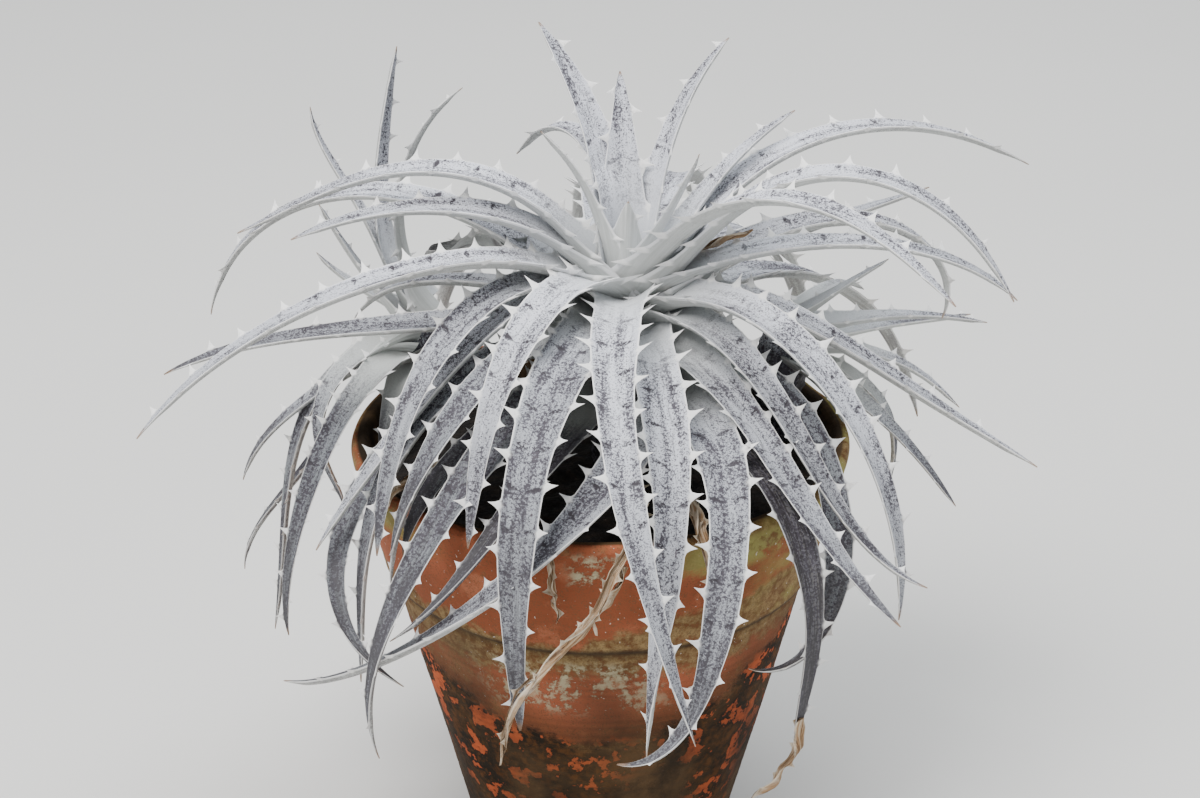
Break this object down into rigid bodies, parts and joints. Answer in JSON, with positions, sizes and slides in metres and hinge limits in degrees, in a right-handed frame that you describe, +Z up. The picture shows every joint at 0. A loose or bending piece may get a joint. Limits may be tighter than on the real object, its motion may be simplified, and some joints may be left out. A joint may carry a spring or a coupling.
{
  "type": "potted dyckia bromeliad",
  "caption": "Spiny silver-grey bromeliad: a rosette of arching leaves with hooked marginal teeth and smaller offsets, growing in a rimmed clay pot.",
  "frame": {"origin": "centre of the pot's base, on the surface the pot stands on; it is also within 3 mm of the centre of the leaves' spread", "axes": "+Z up along the pot's axis, -Y towards the side that is seen in the picture, +X to the right of that view"},
  "size_m": [0.3409, 0.3048, 0.3357],
  "materials": {
    "terracotta": "matte",
    "soil": "matte",
    "leaf_heart": "matte",
    "leaf": "matte",
    "leaf_offset": "matte",
    "leaf_dead": "matte"
  },
  "bodies": {
    "root": {"pot": "terracotta", "soil": "soil", "crown": "leaf_heart", "leaf_right_high_1": "leaf", "leaf_right_high_2": "leaf", "leaf_right_high_3": "leaf", "leaf_right_high_4": "leaf", "leaf_right_high_5": "leaf", "leaf_right_high_6": "leaf", "leaf_right_1": "leaf", "leaf_right_2": "leaf", "leaf_right_3": "leaf", "leaf_right_4": "leaf", "leaf_right_5": "leaf", "leaf_front_1": "leaf", "leaf_front_2": "leaf", "leaf_front_3": "leaf", "leaf_front_4": "leaf", "leaf_front_5": "leaf", "leaf_front_6": "leaf", "leaf_front_7": "leaf", "leaf_front_8": "leaf", "leaf_front_9": "leaf", "leaf_front_10": "leaf", "leaf_front_11": "leaf", "leaf_front_12": "leaf", "leaf_front_13": "leaf", "leaf_front_14": "leaf", "leaf_left_1": "leaf", "leaf_left_2": "leaf", "leaf_left_3": "leaf", "leaf_left_4": "leaf", "leaf_left_5": "leaf", "leaf_left_6": "leaf", "leaf_left_7": "leaf", "leaf_back_1": "leaf", "leaf_back_2": "leaf", "leaf_back_3": "leaf", "leaf_back_4": "leaf", "leaf_back_5": "leaf", "leaf_back_6": "leaf", "leaf_back_7": "leaf", "leaf_back_8": "leaf", "offset_left": "leaf_offset", "offset_right": "leaf_offset", "dead_leaf_right": "leaf_dead", "dead_leaf_front": "leaf_dead", "dead_leaf_left": "leaf_dead"}
  },
  "joints": []
}
